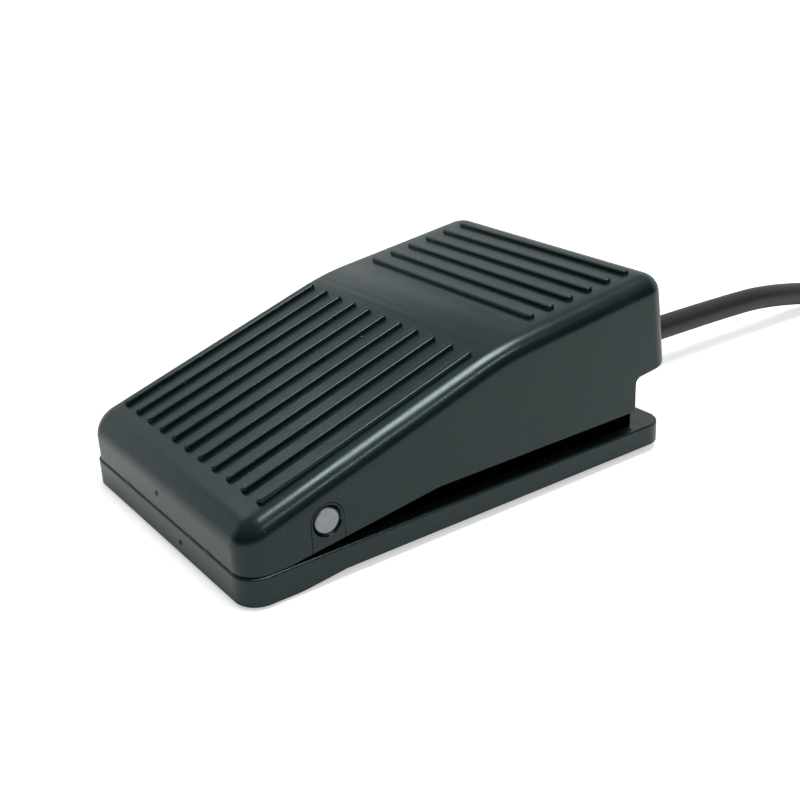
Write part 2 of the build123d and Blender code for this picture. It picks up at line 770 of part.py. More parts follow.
for name, (tab_y, legs) in terminal_legs.items():
    with BuildPart() as terminal:
        with BuildSketch(Plane.YZ.offset(switch_x)):
            with Locations((tab_y, floor_z - (terminal_length + switch_wall) / 2)):
                Rectangle(terminal_width, terminal_length + switch_wall)
            with Locations((tab_y, switch_z0 - terminal_length + 2 * terminal_hole)):
                Circle(terminal_hole, mode=Mode.SUBTRACT)
        extrude(amount=strip / 2, both=True)
        with BuildSketch(Plane.YZ.offset(switch_x)):
            for y0, z0, y1, z1 in legs:
                with Locations(((y0 + y1) / 2, (z0 + z1) / 2)):
                    Rectangle(y1 - y0, z1 - z0)
        extrude(amount=terminal_strip / 2, both=True)
    report(name, terminal.part)


def pan_screw(radius, length, head_radius, head_height):
    """Screw along +Z with its head's seat at the origin and a cross recess, for placing."""
    with BuildPart() as screw:
        with BuildSketch(Plane.XY):
            Circle(radius)
        extrude(amount=-length)
        chamfer(screw.edges().sort_by(Axis.Z)[0], radius / 3)
        with BuildSketch(Plane.XY):
            Circle(head_radius)
        extrude(amount=head_height)
        chamfer(screw.edges().sort_by(Axis.Z)[-1], head_height / 3)
        with BuildSketch(Plane.XY.offset(head_height)):
            Rectangle(head_radius, screw_slot)
            Rectangle(screw_slot, head_radius)
        extrude(amount=-screw_recess, mode=Mode.SUBTRACT)
    return screw.part


# Two screws with nuts hold the micro switch to its bracket
switch_screw_length = bracket_right - switch_left + nut_height + screw_past_nut
switch_screw = pan_screw(screw_radius, switch_screw_length, screw_head_radius, screw_head_height)
with BuildPart() as switch_screws:
    for y, z in switch_holes:
        add(Plane(origin=(switch_left, y, z), x_dir=(0, 1, 0), z_dir=(-1, 0, 0)) * switch_screw)
report("switch_screws", switch_screws.part)

with BuildPart() as switch_nuts:
    with BuildSketch(Plane.YZ.offset(bracket_right)):
        with Locations(*switch_holes):
            RegularPolygon(nut_flats / 2, 6, major_radius=False)
            Circle(screw_radius + screw_clearance, mode=Mode.SUBTRACT)
    extrude(amount=nut_height)
report("switch_nuts", switch_nuts.part)

# Bushing in the rear wall: a flange each side, flat where it stands on the deck, and a tapered nose
wall_in = housing_rear - housing_wall
flange_radius = bushing_radius + bushing_flange_extra
nose_radius = lead_radius + bushing_taper_wall
nose_y = housing_rear + bushing_flange + bushing_taper_length
with BuildPart() as cord_bushing:
    with BuildSketch(Plane.YZ):
        with BuildLine():
            Polyline(
                (wall_in - bushing_flange, lead_z), (wall_in - bushing_flange, lead_z + flange_radius),
                (wall_in, lead_z + flange_radius), (wall_in, lead_z + bushing_radius),
                (housing_rear, lead_z + bushing_radius), (housing_rear, lead_z + flange_radius),
                (housing_rear + bushing_flange, lead_z + flange_radius),
                (housing_rear + bushing_flange, lead_z + bushing_radius),
                (nose_y, lead_z + nose_radius), (nose_y, lead_z), close=True,
            )
        make_face()
    revolve(axis=Axis((0, 0, lead_z), (0, 1, 0)))
    with BuildSketch(Plane.XZ.offset(-wall_in + bushing_flange)):
        with Locations((0, lead_z)):
            Circle(lead_radius + lead_clearance)
    extrude(amount=-base_length, mode=Mode.SUBTRACT)
    # the flanges and the nose stay above the deck
    for y0, y1 in ((wall_in - bushing_flange, wall_in), (housing_rear, nose_y)):
        with BuildSketch(Plane.XY.offset(rim + bushing_clearance)):
            with Locations((0, (y0 + y1) / 2)):
                Rectangle(base_width, y1 - y0)
        extrude(amount=-base_height, mode=Mode.SUBTRACT)
report("cord_bushing", cord_bushing.part)

# Clamp bar over the lead, with its two screws
clamp_low = lead_z + clamp_gap
with BuildPart() as cord_clamp:
    with BuildSketch(Plane.XY.offset(clamp_low)):
        with Locations((0, clamp_y)):
            Rectangle(clamp_width, clamp_length)
    extrude(amount=clamp_height)
    fillet(cord_clamp.edges().filter_by(Axis.Y).group_by(Axis.Z)[-1], clamp_edge)
    with BuildSketch(Plane.XY.offset(clamp_low)):
        with Locations((0, clamp_y)):
            with GridLocations(clamp_screw_spacing, 1, 2, 1):
                Circle(clamp_screw_radius + 2 * screw_clearance)
    extrude(amount=clamp_height, mode=Mode.SUBTRACT)
    with BuildSketch(Plane.XZ.offset(-(clamp_y - clamp_length / 2))):
        with Locations((0, lead_z)):
            Circle(lead_radius + lead_clearance)
    extrude(amount=-clamp_length, mode=Mode.SUBTRACT)
report("cord_clamp", cord_clamp.part)

clamp_screw = pan_screw(clamp_screw_radius, clamp_screw_length, 2 * clamp_screw_radius, screw_head_height)
with BuildPart() as clamp_screws:
    for side in (-1, 1):
        seat = (side * clamp_screw_spacing / 2, clamp_y, clamp_low + clamp_height)
        add(Plane(origin=seat) * clamp_screw)
report("clamp_screws", clamp_screws.part)


def tube(points, radius):
    """Round solid along straight runs joined by arcs as large as the runs allow."""
    radii = []
    for a, b, c in zip(points, points[1:], points[2:]):
        run_in, run_out = Vector(b) - Vector(a), Vector(c) - Vector(b)
        turn = radians(run_in.get_angle(run_out))
        radii.append(0.45 * min(run_in.length, run_out.length) / tan(turn / 2))
    with BuildPart() as piece:
        with BuildLine() as path:
            if radii:
                FilletPolyline(*points, radius=radii)
            else:
                Line(*points)
        with BuildSketch(Plane(origin=path.line @ 0, z_dir=path.line % 0)):
            Circle(radius)
        sweep()
    length = sum(edge.length for edge in path.line.edges())
    print("tube", round(length, 1), "radii", [round(r, 1) for r in radii],
          "volume ratio", round(piece.part.volume / (pi * radius ** 2 * length), 4))
    return piece.part


# Lead: leaves the housing level, droops a little and comes down to the floor
lead_points = [
    (0.0, lead_inner_y, lead_z),
    (0.0, rear + 5.5, lead_z),
    (0.5, rear + 30.5, lead_z - 0.05),
    (0.2, rear + 54.5, lead_z - 0.4),
    (0.5, rear + 77.5, lead_z - 1.1),
    (0.2, rear + 99.5, lead_z - 6.25),
]
report("cord_sheath", tube(lead_points, lead_radius))

# Cores inside the housing, each from the end of the lead to its solder tab
core_angles = {"common": 90, "open": 210, "closed": 330}
core_tabs = {"common": terminal_common_y, "open": terminal_open_y, "closed": terminal_closed_y}
tab_face = switch_x - terminal_thickness / 2
for name, angle in core_angles.items():
    x = core_circle * cos(radians(angle))
    z = lead_z + core_circle * sin(radians(angle))
    y = core_tabs[name]
    report(f"wire_{name}", tube([(x, lead_inner_y, z), (x, y, z), (tab_face, y, z)], core_radius))

# Cores past the end of the lead, spread out and drooping to the floor, with tinned tips
end_before, end_last = Vector(*lead_points[-2]), Vector(*lead_points[-1])
end_plane = Plane(origin=end_last, x_dir=(1, 0, 0), z_dir=end_last - end_before)
end_run = end_length / 4
end_step = end_length / 6
core_spread = {"common": 1.5, "open": -6.5, "closed": 7.5}
tips = []
for name, angle in core_angles.items():
    across = core_circle * cos(radians(angle)), core_circle * sin(radians(angle))
    begin = end_plane.from_local_coords((*across, 0))
    step = end_plane.from_local_coords((*across, end_step))
    aside = core_spread[name]
    points = [
        begin, step,
        Vector(begin.X + aside / 3, step.Y + end_run, (step.Z + core_radius) / 2),
        Vector(begin.X + aside * 2 / 3, step.Y + 2 * end_run, core_radius),
        Vector(begin.X + aside / 2, step.Y + 3 * end_run, core_radius),
    ]
    report(f"lead_{name}", tube([tuple(point) for point in points], core_radius))
    tips.append((points[-1], points[-1] - points[-2]))

with BuildPart() as lead_tips:
    for place, direction in tips:
        with BuildSketch(Plane(origin=place, z_dir=direction)):
            Circle(tip_radius)
        extrude(amount=tip_length)
report("lead_tips", lead_tips.part)
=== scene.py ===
"""Looks of the foot pedal switch, in metres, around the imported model."""

import json
from math import cos, hypot, pi, radians, sin, sqrt

import bmesh
import bpy
from mathutils import Matrix, Vector


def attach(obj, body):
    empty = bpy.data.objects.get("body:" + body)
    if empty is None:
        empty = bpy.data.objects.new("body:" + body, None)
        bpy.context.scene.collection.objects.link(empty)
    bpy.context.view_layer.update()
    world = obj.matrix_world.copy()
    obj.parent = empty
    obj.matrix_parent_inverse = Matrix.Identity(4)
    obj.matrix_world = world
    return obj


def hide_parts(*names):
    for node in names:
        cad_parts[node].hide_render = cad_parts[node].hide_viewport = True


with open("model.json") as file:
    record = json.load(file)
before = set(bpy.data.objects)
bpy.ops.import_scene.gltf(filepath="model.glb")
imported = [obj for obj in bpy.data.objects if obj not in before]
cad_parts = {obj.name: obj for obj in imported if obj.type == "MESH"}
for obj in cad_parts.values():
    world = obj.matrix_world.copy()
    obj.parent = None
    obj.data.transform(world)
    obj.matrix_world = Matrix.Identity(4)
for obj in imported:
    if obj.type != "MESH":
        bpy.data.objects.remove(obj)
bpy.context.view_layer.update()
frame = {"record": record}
MM = 0.001


# Camera, fitted to the photograph
CAMERA_PLACE = Vector((190.73, -125.505, 113.55)) * MM
CAMERA_RIGHT = Vector((0.5810, 0.8125, -0.0480))
CAMERA_UP = Vector((-0.2994, 0.2682, 0.9157))
CAMERA_LENS = 52.79
CAMERA_SENSOR = 36.0
CAMERA_CLIP = (0.005, 20.0)


def make_camera():
    """Camera at the photograph's place and angle."""
    data = bpy.data.cameras.new("camera")
    data.lens = CAMERA_LENS
    data.sensor_width = CAMERA_SENSOR
    data.clip_start, data.clip_end = CAMERA_CLIP
    camera = bpy.data.objects.new("camera", data)
    bpy.context.collection.objects.link(camera)
    right = CAMERA_RIGHT.normalized()
    back = right.cross(CAMERA_UP).normalized()
    up = back.cross(right)
    turn = Matrix((right, up, back)).transposed()
    camera.matrix_world = Matrix.Translation(CAMERA_PLACE) @ turn.to_4x4()
    bpy.context.scene.camera = camera


make_camera()


# Node trees of materials and of the world
BOX_EDGE = 0.1 * MM
SCRATCH_WIDTH = 0.16 * MM
SCRATCHED_SIDE = (32.0 * MM, 33.0 * MM)


class Nodes:
    """Short way to write a node tree: add nodes and link their sockets."""

    def __init__(self, tree):
        self.tree = tree

    def add(self, kind, **values):
        """Add a node, with values for its properties and its input sockets."""
        node = self.tree.nodes.new(kind)
        for key, value in values.items():
            if hasattr(node, key):
                setattr(node, key, value)
            else:
                node.inputs[key.replace("_", " ")].default_value = value
        return node

    def link(self, output, target):
        """Link an output to an input socket."""
        self.tree.links.new(output, target)

    def maths(self, operation, first, second=None):
        """Maths node on two values, either of which may be a number."""
        node = self.add("ShaderNodeMath", operation=operation)
        for socket, value in zip(node.inputs, (first, second)):
            if isinstance(value, (int, float)):
                socket.default_value = value
            elif value is not None:
                self.link(value, socket)
        return node.outputs["Value"]

    def product(self, first, *others):
        """Product of several values."""
        for value in others:
            first = self.maths("MULTIPLY", first, value)
        return first

    def remap(self, value, low, high, to_low, to_high, kind="LINEAR"):
        """Change of a value's range, kept within the new one."""
        node = self.add("ShaderNodeMapRange", interpolation_type=kind,
                        From_Min=low, From_Max=high, To_Min=to_low, To_Max=to_high)
        self.link(value, node.inputs["Value"])
        return node.outputs["Result"]


class Material(Nodes):
    """Node tree of a new material, with textures in object coordinates."""

    def __init__(self, name):
        self.material = bpy.data.materials.new(name)
        self.material.use_nodes = True
        super().__init__(self.material.node_tree)
        self.shader = self.tree.nodes["Principled BSDF"]
        self.coordinates = self.add("ShaderNodeTexCoord").outputs["Object"]

    def axes(self):
        """X, Y and Z of the object coordinates."""
        split = self.add("ShaderNodeSeparateXYZ")
        self.link(self.coordinates, split.inputs["Vector"])
        return split.outputs

    def noise(self, scale, detail, roughness, stretch=None):
        """Factor of a noise texture."""
        node = self.add("ShaderNodeTexNoise", Scale=scale, Detail=detail, Roughness=roughness)
        source = self.coordinates
        if stretch:
            mapping = self.add("ShaderNodeMapping", Scale=stretch)
            self.link(source, mapping.inputs["Vector"])
            source = mapping.outputs["Vector"]
        self.link(source, node.inputs["Vector"])
        return node.outputs["Fac"]

    def inside(self, low, high):
        """One inside a box, nought outside it, with a soft edge."""
        masks = []
        for axis, start, end in zip(self.axes(), low, high):
            masks.append(self.remap(axis, start, start + BOX_EDGE, 0.0, 1.0))
            masks.append(self.remap(axis, end - BOX_EDGE, end, 1.0, 0.0))
        return self.product(*masks)

    def scratch(self, start_y, start_z, end_y, end_z):
        """Broken thin line on the right side between two places in mm."""
        length = hypot(end_y - start_y, end_z - start_z)
        along_y, along_z = (end_y - start_y) / length, (end_z - start_z) / length
        axis_x, axis_y, axis_z = self.axes()
        y = self.maths("SUBTRACT", axis_y, start_y * MM)
        z = self.maths("SUBTRACT", axis_z, start_z * MM)
        along = self.maths("ADD", self.product(y, along_y), self.product(z, along_z))
        aside = self.maths("SUBTRACT", self.product(z, along_y), self.product(y, along_z))
        away = self.maths("ABSOLUTE", aside)
        line = self.remap(away, 0.3 * SCRATCH_WIDTH, 0.5 * SCRATCH_WIDTH, 1.0, 0.0)
        begin = self.remap(along, 0.0, 0.2 * length * MM, 0.0, 1.0)
        fade = self.remap(along, 0.7 * length * MM, length * MM, 1.0, 0.0)
        broken = self.remap(self.noise(scale=700.0, detail=2.0, roughness=0.6), 0.42, 0.56, 0.0, 0.7)
        right = self.remap(axis_x, *SCRATCHED_SIDE, 0.0, 1.0)
        return self.product(line, begin, fade, broken, right)

    def lay_over(self, below, colour, mask):
        """Colour laid over another one where a mask is one."""
        mix = self.add("ShaderNodeMix", data_type="RGBA")
        self.link(mask, mix.inputs["Factor"])
        self.link(below, mix.inputs["A"])
        mix.inputs["B"].default_value = (*colour, 1.0)
        return mix.outputs["Result"]

    def bump(self, height, strength, distance, normal=None):
        """Bump node for a height; returns its normal."""
        node = self.add("ShaderNodeBump", Strength=strength, Distance=distance)
        self.link(height, node.inputs["Height"])
        if normal:
            self.link(normal, node.inputs["Normal"])
        return node.outputs["Normal"]


# Finishes
DUST = (0.07, 0.08, 0.08)
# painted shade: near-black colour laid on the base's inside below the cover, where the cover's shade falls
PAINTED_SHADE_INSIDE = (0.0006, 0.0008, 0.0008)
PLASTIC_IOR = 1.5
# painted reflection colour: the plastic's reflections are tinted teal in the material, not by the lamps or
# the world
PAINTED_REFLECTION_TINT = (0.8, 1.0, 1.0)


def moulded_plastic(name, colour, roughness, inner=None, scratches=()):
    """Moulded plastic: soft waves and fine grain from the mould, rubbing marks, haze and a little dust.

    inner is a box of corners, in metres, within which the surface is painted near black: painted shade on
    the inside below the cover.
    scratches are (y, z, y, z) in mm from end to end, on the right side.
    """
    nodes = Material(name)
    shader = nodes.shader
    shader.inputs["IOR"].default_value = PLASTIC_IOR
    # painted reflection colour: a teal tint on every reflection
    shader.inputs["Specular Tint"].default_value = (*PAINTED_REFLECTION_TINT, 1.0)
    cloudy = nodes.noise(scale=60.0, detail=4.0, roughness=0.6)
    rubbed = nodes.noise(scale=160.0, detail=5.0, roughness=0.7, stretch=(0.25, 1.0, 1.0))
    specks = nodes.remap(nodes.noise(scale=1500.0, detail=1.0, roughness=0.4), 0.74, 0.78, 0.0, 1.0)
    patches = nodes.remap(nodes.noise(scale=45.0, detail=3.0, roughness=0.6), 0.45, 0.65, 0.0, 1.0)
    tint = nodes.add("ShaderNodeMix", data_type="RGBA", blend_type="MULTIPLY")
    tint.inputs["Factor"].default_value = 1.0
    tint.inputs["A"].default_value = (*colour, 1.0)
    nodes.link(nodes.remap(cloudy, 0.3, 0.7, 0.85, 1.15), tint.inputs["B"])
    result = tint.outputs["Result"]
    rough = nodes.maths("ADD", nodes.remap(cloudy, 0.3, 0.7, roughness - 0.03, roughness + 0.04),
                        nodes.remap(rubbed, 0.35, 0.75, -0.02, 0.05))
    # each mark: where it is, its colour and how much rougher it is
    marks = [(nodes.product(specks, patches), DUST, 0.25)]
    marks += [(nodes.scratch(*ends), DUST, 0.2) for ends in scratches]
    # painted shade: the surface inside the box is darkened to near black where the cover shades it, and
    # made rougher
    if inner:
        marks.append((nodes.inside(*inner), PAINTED_SHADE_INSIDE, 0.3))
    for mask, shade, rougher in marks:
        result = nodes.lay_over(result, shade, mask)
        rough = nodes.maths("ADD", rough, nodes.product(mask, rougher))
    nodes.link(result, shader.inputs["Base Color"])
    nodes.link(rough, shader.inputs["Roughness"])
    waves = nodes.noise(scale=70.0, detail=2.0, roughness=0.4)
    pebbles = nodes.noise(scale=420.0, detail=2.0, roughness=0.5)
    grain = nodes.noise(scale=2400.0, detail=2.0, roughness=0.6)
    normal = nodes.bump(waves, strength=0.12, distance=0.0008)
    normal = nodes.bump(pebbles, strength=0.05, distance=0.0002, normal=normal)
    normal = nodes.bump(grain, strength=0.03, distance=0.0001, normal=normal)
    nodes.link(normal, shader.inputs["Normal"])
    return nodes.material


def rubber(name, colour, roughness):
    """Dull rubber or soft cord jacket."""
    nodes = Material(name)
    shader = nodes.shader
    shader.inputs["Base Color"].default_value = (*colour, 1.0)
    fine = nodes.noise(scale=1500.0, detail=3.0, roughness=0.6)
    nodes.link(nodes.remap(fine, 0.3, 0.7, roughness - 0.05, roughness + 0.05), shader.inputs["Roughness"])
    nodes.link(nodes.bump(fine, strength=0.08, distance=0.0001), shader.inputs["Normal"])
    return nodes.material


def metal(name, colour, roughness):
    """Plated or drawn metal with fine marks."""
    nodes = Material(name)
    shader = nodes.shader
    shader.inputs["Base Color"].default_value = (*colour, 1.0)
    shader.inputs["Metallic"].default_value = 1.0
    fine = nodes.noise(scale=900.0, detail=3.0, roughness=0.6)
    nodes.link(nodes.remap(fine, 0.3, 0.7, roughness - 0.08, roughness + 0.1), shader.inputs["Roughness"])
    nodes.link(nodes.bump(fine, strength=0.06, distance=0.0001), shader.inputs["Normal"])
    return nodes.material


BLACK = (0.005, 0.0115, 0.0125)
BLACK_ROUGHNESS = 0.24
# box of the base's inside below the cover, which gets painted shade
PAINTED_SHADE_BOX = (Vector((-33.3, -48.0, 6.05)) * MM, Vector((33.3, 41.6, 40.0)) * MM)
SCRATCHES = [
    (-1.84, 21.28, 3.5, 21.45),
    (3.0, 21.3, 9.24, 21.5),
    (35.4, 26.1, 36.6, 27.3),
    (36.0, 27.5, 36.9, 26.9),
]
base_plastic = moulded_plastic("base_plastic", BLACK, BLACK_ROUGHNESS, inner=PAINTED_SHADE_BOX)
cover_plastic = moulded_plastic("cover_plastic", BLACK, BLACK_ROUGHNESS, scratches=SCRATCHES)
finishes = {
    "black_plastic": moulded_plastic("black_plastic", BLACK, BLACK_ROUGHNESS),
    "foot_rubber": rubber("foot_rubber", (0.012, 0.012, 0.012), 0.75),
    "lead_rubber": rubber("lead_rubber", (0.014, 0.014, 0.015), 0.42),
    "pin_steel": metal("pin_steel", (0.34, 0.35, 0.36), 0.45),
    "spring_steel": metal("spring_steel", (0.55, 0.56, 0.57), 0.3),
    "screw_steel": metal("screw_steel", (0.6, 0.6, 0.61), 0.3),
    "switch_plastic": moulded_plastic("switch_plastic", (0.02, 0.02, 0.022), 0.5),
    "plunger_plastic": moulded_plastic("plunger_plastic", (0.4, 0.02, 0.012), 0.35),
    "contact_brass": metal("contact_brass", (0.7, 0.45, 0.28), 0.3),
    "terminal_brass": metal("terminal_brass", (0.72, 0.66, 0.5), 0.28),
    "core_a": rubber("core_a", (0.012, 0.012, 0.012), 0.4),
    "core_b": rubber("core_b", (0.35, 0.015, 0.01), 0.4),
    "core_c": rubber("core_c", (0.7, 0.7, 0.67), 0.4),
    "tinned_copper": metal("tinned_copper", (0.7, 0.68, 0.64), 0.35),
}


def dress_nodes():
    """Give each CAD node the finish of its material slot, except the base tray, which gets the plastic with
    painted shade on its inside.
    """
    slots = {part["node"]: part["material_slot"] for part in frame["record"]["subparts"]}
    for node, slot in slots.items():
        piece = bpy.data.objects[node]
        piece.data.materials.clear()
        piece.data.materials.append(base_plastic if node == "base_tray" else finishes[slot])


dress_nodes()


# What the added pieces share


def new_piece(name, mesh, body, slot="black_plastic", material=None):
    """Object for a mesh that rides on a body, with a given material or else the finish of its record slot.
    """
    piece = bpy.data.objects.new(name, mesh)
    bpy.context.collection.objects.link(piece)
    piece.data.materials.clear()
    piece.data.materials.append(material or finishes[slot])
    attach(piece, body)
    return piece


def join_rings(work, rings, looped=False):
    """Faces between rings of vertices: looped back to the first ring, or else closed at both ends."""
    count = len(rings[0])
    for ring, after in zip(rings, rings[1:] + rings[:1] if looped else rings[1:]):
        for k in range(count):
            work.faces.new((ring[k], ring[(k + 1) % count], after[(k + 1) % count], after[k]))
    if not looped:
        work.faces.new(rings[0])
        work.faces.new(rings[-1])


def finished_mesh(work, name, smooth=True):
    """Mesh of closed forms, with their faces turned outwards."""
    bmesh.ops.recalc_face_normals(work, faces=work.faces)
    mesh = bpy.data.meshes.new(name)
    work.to_mesh(mesh)
    work.free()
    for face in mesh.polygons:
        face.use_smooth = smooth
    return mesh


# Pedal cover in mm: the CAD cover, with its top edges rounded to the full radius that the photograph shows
COVER_HALF = 33.7
COVER_FRONT = -51.925
COVER_REAR_TOP = 49.735
CORNER = 5.0
BEND_Y = 7.175
BEND_Z = 34.08
BEND_HALF = 5.41
FRONT_SLOPE = 0.32115
REAR_SLOPE = 0.12633
LEAN_START_END = (15.0, 42.0)
EDGE_RADIUS = 4.0

# Outline of the cutter that makes the round, in mm and in counts of steps
CUTTER_OUT = 4.0
CUTTER_UP = 3.0
CUTTER_LIFT = 0.012
CUTTER_ANGLES = (1.5, *range(4, 90, 4), 90)
CORNER_STEPS = 12
LENGTH_STEPS = 48
WIDTH_STEPS = 12

# Which faces belong to the outer skin: the farthest in mm, and how well their direction has to agree
SKIN_NEAR = 0.07
SKIN_AGREES = 0.97
VERTEX_AGREES = 0.9
SKIN_STEP = 0.01
COVER_SHARP = radians(28)


def top_height(y):
    """Height of the cover's top at y: two slopes joined by a soft bend."""
    step = min(max(y - (BEND_Y - BEND_HALF), 0.0), 2 * BEND_HALF)
    past = max(y - (BEND_Y + BEND_HALF), 0.0)
    start = BEND_Z - BEND_HALF * FRONT_SLOPE
    before = min(y - (BEND_Y - BEND_HALF), 0.0)
    bent = FRONT_SLOPE * step + (REAR_SLOPE - FRONT_SLOPE) * step ** 2 / (4 * BEND_HALF)
    return start + before * FRONT_SLOPE + bent + past * REAR_SLOPE


def smoothstep(value, low, high):
    """Soft step from nought at low to one at high."""
    t = min(max((value - low) / (high - low), 0.0), 1.0)
    return t * t * (3.0 - 2.0 * t)


def rear_lean(y, depth):
    """How far the rear wall leans out at a depth below the top."""
    return depth * REAR_SLOPE * smoothstep(y, *LEAN_START_END)


def footprint(inset):
    """Points round the cover's outline at its top, moved inwards by inset."""
    radius = CORNER - inset
    half, low, high = COVER_HALF - CORNER, COVER_FRONT + CORNER, COVER_REAR_TOP - CORNER
    corners = [(half, high, 0), (-half, high, 90), (-half, low, 180), (half, low, 270)]
    points = []
    for (x, y, turn), (next_x, next_y, _) in zip(corners, corners[1:] + corners[:1]):
        for k in range(CORNER_STEPS + 1):
            angle = radians(turn + 90 * k / CORNER_STEPS)
            points.append((x + radius * cos(angle), y + radius * sin(angle)))
        out_x, out_y = radius * cos(radians(turn + 90)), radius * sin(radians(turn + 90))
        count = WIDTH_STEPS if next_y == y else LENGTH_STEPS
        for k in range(1, count):
            t = k / count
            points.append((x + (next_x - x) * t + out_x, y + (next_y - y) * t + out_y))
    return points


def rounding_cutter():
    """Closed ring whose lower inner face is the round that the cover's top edges get."""
    # each level: how far inwards from the walls, how far above the top, and whether it follows the lean
    levels = [(-CUTTER_OUT, -EDGE_RADIUS, True)]
    for angle in CUTTER_ANGLES:
        inset = EDGE_RADIUS * (1 - cos(radians(angle)))
        levels.append((inset, CUTTER_LIFT - EDGE_RADIUS * (1 - sin(radians(angle))), True))
    levels += [(EDGE_RADIUS, CUTTER_UP, False), (-CUTTER_OUT, CUTTER_UP, False)]
    work = bmesh.new()
    rings = []
    for inset, above, leans in levels:
        ring = []
        for x, y in footprint(inset):
            lean = rear_lean(y, -above) if leans else 0.0
            ring.append(work.verts.new(Vector((x, y + lean, top_height(y) + above)) * MM))
        rings.append(ring)
    join_rings(work, rings, looped=True)
    cutter = bpy.data.objects.new("cutter", finished_mesh(work, "cutter"))
    bpy.context.collection.objects.link(cutter)
    return cutter


def skin(point):
    """Distance in mm from the cover's outer skin: top, rounded edges and upright walls."""
    x, y, z = point
    y -= rear_lean(y, top_height(y) - z)
    middle = (COVER_FRONT + COVER_REAR_TOP) / 2
    aside = abs(x) - (COVER_HALF - CORNER)
    along = abs(y - middle) - ((COVER_REAR_TOP - COVER_FRONT) / 2 - CORNER)
    inset = CORNER - hypot(max(aside, 0.0), max(along, 0.0)) - min(max(aside, along), 0.0)
    into_band = EDGE_RADIUS - inset
    rise = z - (top_height(y) - EDGE_RADIUS)
    if into_band <= 0.0:
        return rise - EDGE_RADIUS
    if rise <= 0.0:
        return -inset
    return hypot(into_band, rise) - EDGE_RADIUS


def skin_normal(point):
    """Outward normal of the skin at a point in mm."""
    steps = (Vector((SKIN_STEP, 0, 0)), Vector((0, SKIN_STEP, 0)), Vector((0, 0, SKIN_STEP)))
    return Vector([skin(point + step) - skin(point) for step in steps]).normalized()


def shade_cover(mesh):
    """Smooth shading, with the true normals of the outer skin on the faces that belong to it."""
    for face in mesh.polygons:
        face.use_smooth = True
    mesh.set_sharp_from_angle(angle=COVER_SHARP)
    normals = [Vector(corner.vector) for corner in mesh.corner_normals]
    known = {}
    for face in mesh.polygons:
        centre = face.center / MM
        if abs(skin(centre)) > SKIN_NEAR or face.normal.dot(skin_normal(centre)) < SKIN_AGREES:
            continue
        for loop in face.loop_indices:
            vertex = mesh.loops[loop].vertex_index
            if vertex not in known:
                known[vertex] = skin_normal(mesh.vertices[vertex].co / MM)
            if known[vertex].dot(face.normal) > VERTEX_AGREES:
                normals[loop] = known[vertex]
    mesh.normals_split_custom_set(normals)


def make_cover():
    """Copy of the CAD cover with the larger round, in place of the CAD node."""
    mesh = bpy.data.objects["pedal_cover"].data.copy()
    work = bmesh.new()
    work.from_mesh(mesh)
    bmesh.ops.remove_doubles(work, verts=work.verts, dist=1e-6)
    work.to_mesh(mesh)
    work.free()
    cover = new_piece("cover_shell", mesh, "pedal", material=cover_plastic)
    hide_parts("pedal_cover")
    cutter = rounding_cutter()
    cut = cover.modifiers.new("round", "BOOLEAN")
    cut.operation = "DIFFERENCE"
    cut.solver = "EXACT"
    cut.object = cutter
    bpy.context.view_layer.update()
    graph = bpy.context.evaluated_depsgraph_get()
    cover.data = bpy.data.meshes.new_from_object(cover.evaluated_get(graph))
    cover.modifiers.clear()
    bpy.data.objects.remove(cutter)
    shade_cover(cover.data)


# Tread ribs in mm, laid over the CAD cover's own: half width and height of their section from foot to crest
RIB_SECTION = [
    (0.92, -0.35), (0.92, 0.0), (0.87, 0.35), (0.83, 0.62), (0.79, 0.75),
    (0.71, 0.85), (0.6, 0.9), (0.5, 0.91), (0.44, 0.91),
]
RIB_END_STEPS = 10
RIB_LONGER = 0.3
FRONT_TREAD = dict(origin=(0.0, COVER_FRONT, 15.1), lean=radians(17.805))
FRONT_RIBS = 11
FRONT_PITCH = 5.64
FRONT_MIDDLE = 31.981
FRONT_LENGTH = 49.888 + RIB_LONGER
REAR_TREAD = dict(origin=(0.0, BEND_Y, BEND_Z), lean=radians(7.2))
REAR_RIBS = 6
REAR_PITCH = 5.19
REAR_FIRST = 11.4906
REAR_LENGTH = 54.8 + RIB_LONGER
REAR_WIDTH_SHARE = 1.1
REAR_HEIGHT_SHARE = 0.83


def add_rib(work, tread, centre, length, upslope, width_share=1.0, height_share=1.0):
    """Rib with rounded ends, up a tread's slope or across it, with its centre across and up the slope."""
    slope = Vector((0.0, cos(tread["lean"]), sin(tread["lean"])))
    normal = Vector((0.0, -sin(tread["lean"]), cos(tread["lean"])))
    across = Vector((1.0, 0.0, 0.0))
    long_axis, short_axis = (slope, across) if upslope else (across, -slope)
    middle = Vector(tread["origin"]) + across * centre[0] + slope * centre[1]
    half = length / 2 - RIB_SECTION[0][0] * width_share
    rings = []
    for reach, rise in RIB_SECTION:
        ring = []
        for end in (1, -1):
            for k in range(RIB_END_STEPS + 1):
                turn = radians(-90 + 180 * k / RIB_END_STEPS)
                u = end * (half + reach * width_share * cos(turn))
                v = end * reach * width_share * sin(turn)
                spot = middle + long_axis * u + short_axis * v + normal * rise * height_share
                ring.append(work.verts.new(spot * MM))
        rings.append(ring)
    join_rings(work, rings)


def make_ribs():
    """Ribs up the front slope and across the rear slope."""
    work = bmesh.new()
    for k in range(FRONT_RIBS):
        aside = FRONT_PITCH * (k - (FRONT_RIBS - 1) / 2)
        add_rib(work, FRONT_TREAD, (aside, FRONT_MIDDLE), FRONT_LENGTH, True)
    for k in range(REAR_RIBS):
        along = REAR_FIRST + REAR_PITCH * k
        add_rib(work, REAR_TREAD, (0.0, along), REAR_LENGTH, False, REAR_WIDTH_SHARE, REAR_HEIGHT_SHARE)
    new_piece("tread_ribs", finished_mesh(work, "tread_ribs"), "pedal")


